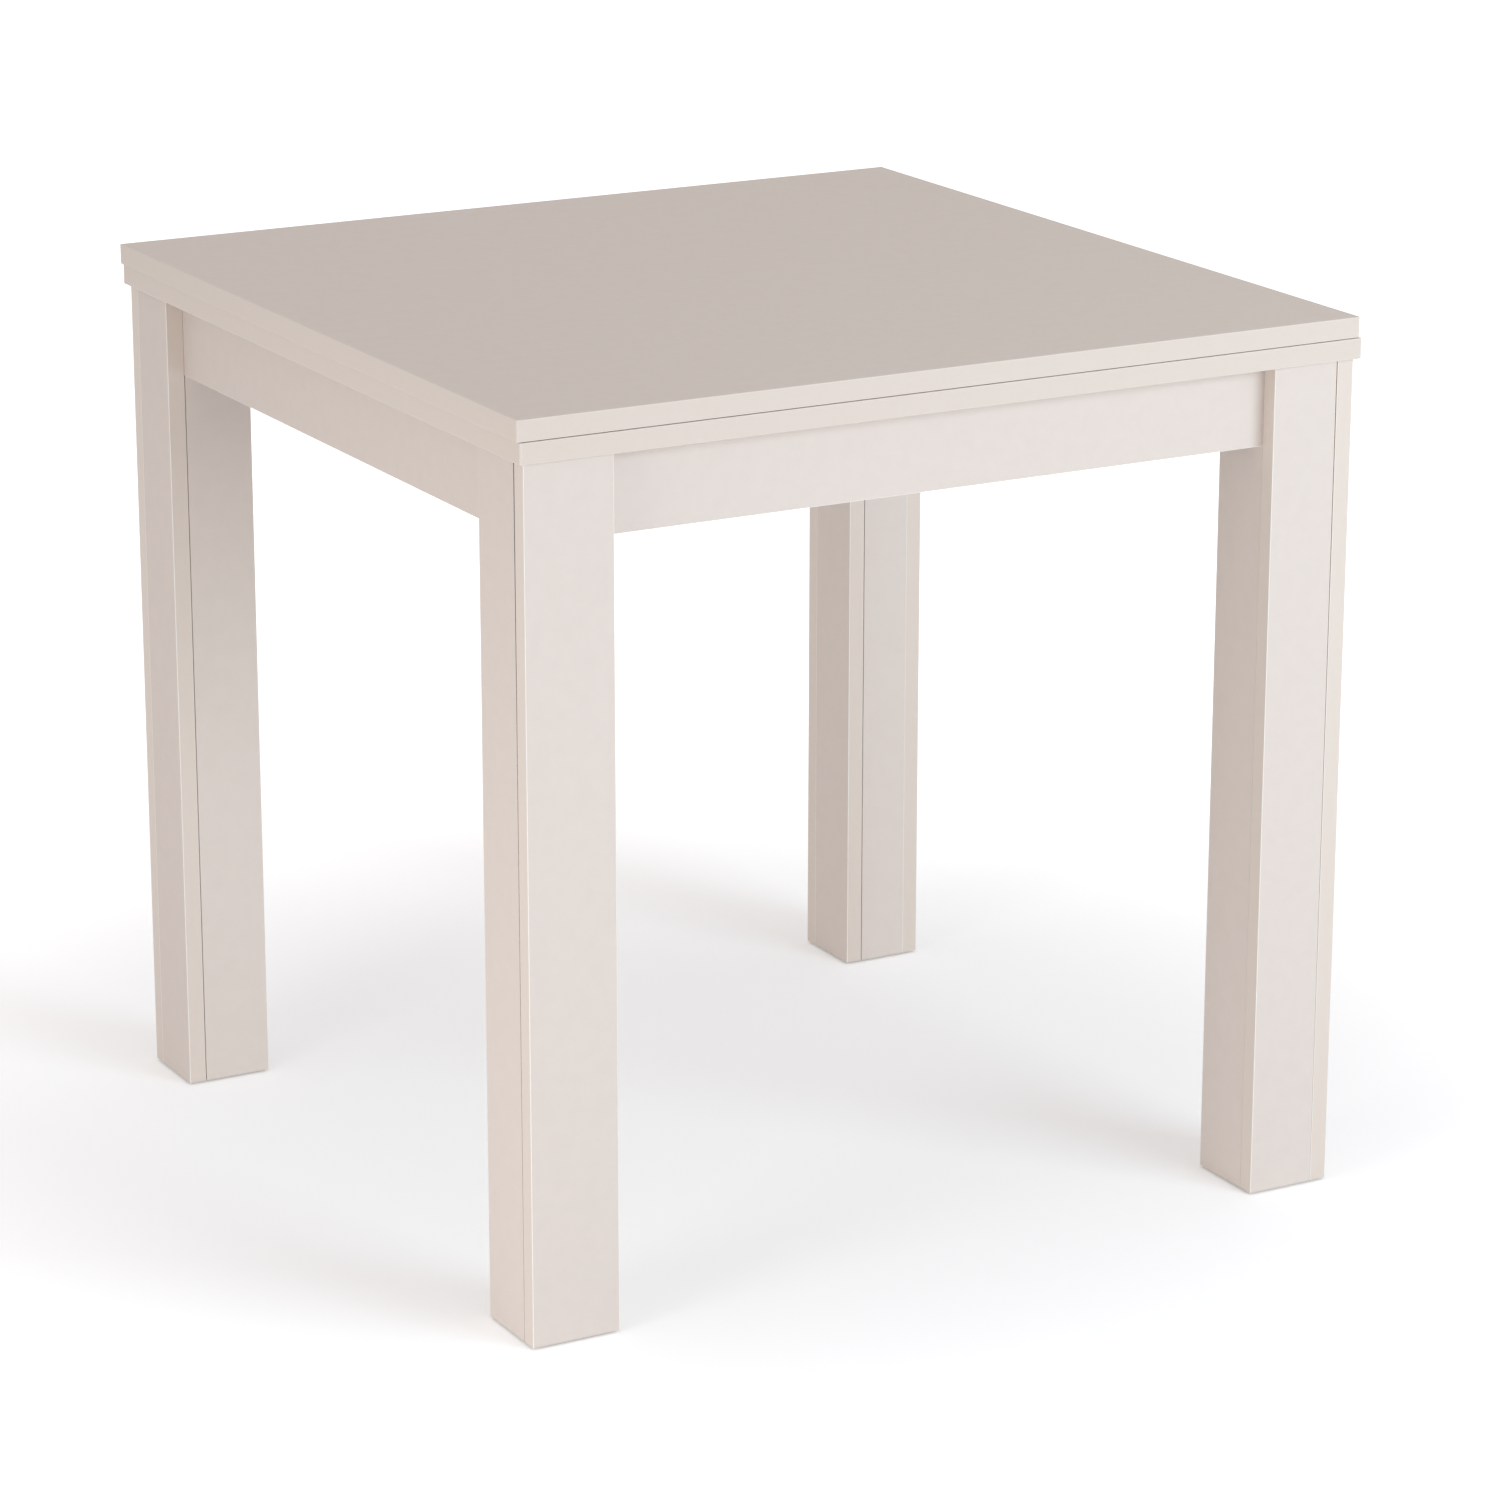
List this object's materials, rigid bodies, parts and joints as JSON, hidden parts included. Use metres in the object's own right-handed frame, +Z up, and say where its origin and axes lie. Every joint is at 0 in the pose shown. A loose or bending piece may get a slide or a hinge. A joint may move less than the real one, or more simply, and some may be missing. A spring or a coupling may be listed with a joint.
{
  "type": "extendable table",
  "caption": "Square dining table with a sliding, book-opening double top on four square box legs joined by recessed aprons.",
  "frame": {"origin": "on the floor, under the middle of the frame", "axes": "+Z up, +Y from the front of the table to its back, +X towards the hinged edge of the top"},
  "size_m": [0.8039, 0.8, 0.7846],
  "materials": {
    "faced_board": "fine-grained melamine face, matt",
    "edge_band": "satin edge band",
    "spruce_block": "sawn",
    "beech_dowel": "turned, fluted",
    "white_nylon": "moulded",
    "slide_pad": "slippery pad",
    "clear_bumper": "clear, soft",
    "anodised_aluminium": "extruded, satin anodised",
    "nickel_plated_steel": "nickel plated",
    "zinc_plated_steel": "bright zinc plated"
  },
  "bodies": {
    "frame": {"front_left_leg_front_panel": "faced_board", "front_left_leg_left_panel": "faced_board", "front_left_leg_back_panel": "faced_board", "front_left_leg_right_panel": "faced_board", "front_right_leg_right_panel": "faced_board", "front_right_leg_front_panel": "faced_board", "front_right_leg_left_panel": "faced_board", "front_right_leg_back_panel": "faced_board", "back_right_leg_right_panel": "faced_board", "back_right_leg_back_panel": "faced_board", "back_right_leg_left_panel": "faced_board", "back_right_leg_front_panel": "faced_board", "back_left_leg_back_panel": "faced_board", "back_left_leg_left_panel": "faced_board", "back_left_leg_front_panel": "faced_board", "back_left_leg_right_panel": "faced_board", "front_left_leg_edge_bands": "edge_band", "front_right_leg_edge_bands": "edge_band", "back_right_leg_edge_bands": "edge_band", "back_left_leg_edge_bands": "edge_band", "leg_head_blocks": "spruce_block", "leg_foot_blocks": "spruce_block", "leg_glides": "white_nylon", "leg_top_pads": "slide_pad", "front_apron": "faced_board", "back_apron": "faced_board", "left_apron": "faced_board", "right_apron": "faced_board", "apron_edge_bands": "edge_band", "apron_dowels": "beech_dowel", "apron_top_pads": "slide_pad", "corner_brackets": "zinc_plated_steel", "bracket_screws": "zinc_plated_steel", "hanger_bolts": "zinc_plated_steel", "bolt_washers": "zinc_plated_steel", "bolt_nuts": "zinc_plated_steel", "front_guide_rail": "anodised_aluminium", "back_guide_rail": "anodised_aluminium", "rail_hangers": "zinc_plated_steel", "hanger_screws": "zinc_plated_steel", "rail_end_stops": "white_nylon", "rail_stop_screws": "zinc_plated_steel"},
    "lower_leaf": {"lower_leaf_panel": "faced_board", "lower_leaf_long_bands": "edge_band", "lower_leaf_side_bands": "edge_band", "front_slider_bar": "anodised_aluminium", "back_slider_bar": "anodised_aluminium", "slider_shoes": "white_nylon", "slider_screws": "zinc_plated_steel", "lower_hinge_plates": "nickel_plated_steel", "hinge_pins": "nickel_plated_steel", "lower_hinge_screws": "nickel_plated_steel", "leaf_bumpers": "clear_bumper"},
    "upper_leaf": {"upper_leaf_panel": "faced_board", "upper_leaf_long_bands": "edge_band", "upper_leaf_side_bands": "edge_band", "upper_hinge_plates": "nickel_plated_steel", "upper_hinge_screws": "nickel_plated_steel"}
  },
  "joints": [
    {"name": "leaf_slide", "type": "slide", "parent": "frame", "child": "lower_leaf", "axis": [-1, 0, 0], "range_m": [0, 0.4]},
    {"name": "leaf_flip", "type": "hinge", "parent": "lower_leaf", "child": "upper_leaf", "pos_m": [0.399, 0, 0.76645], "axis": [0, 1, 0], "range_deg": [0, 180]}
  ]
}
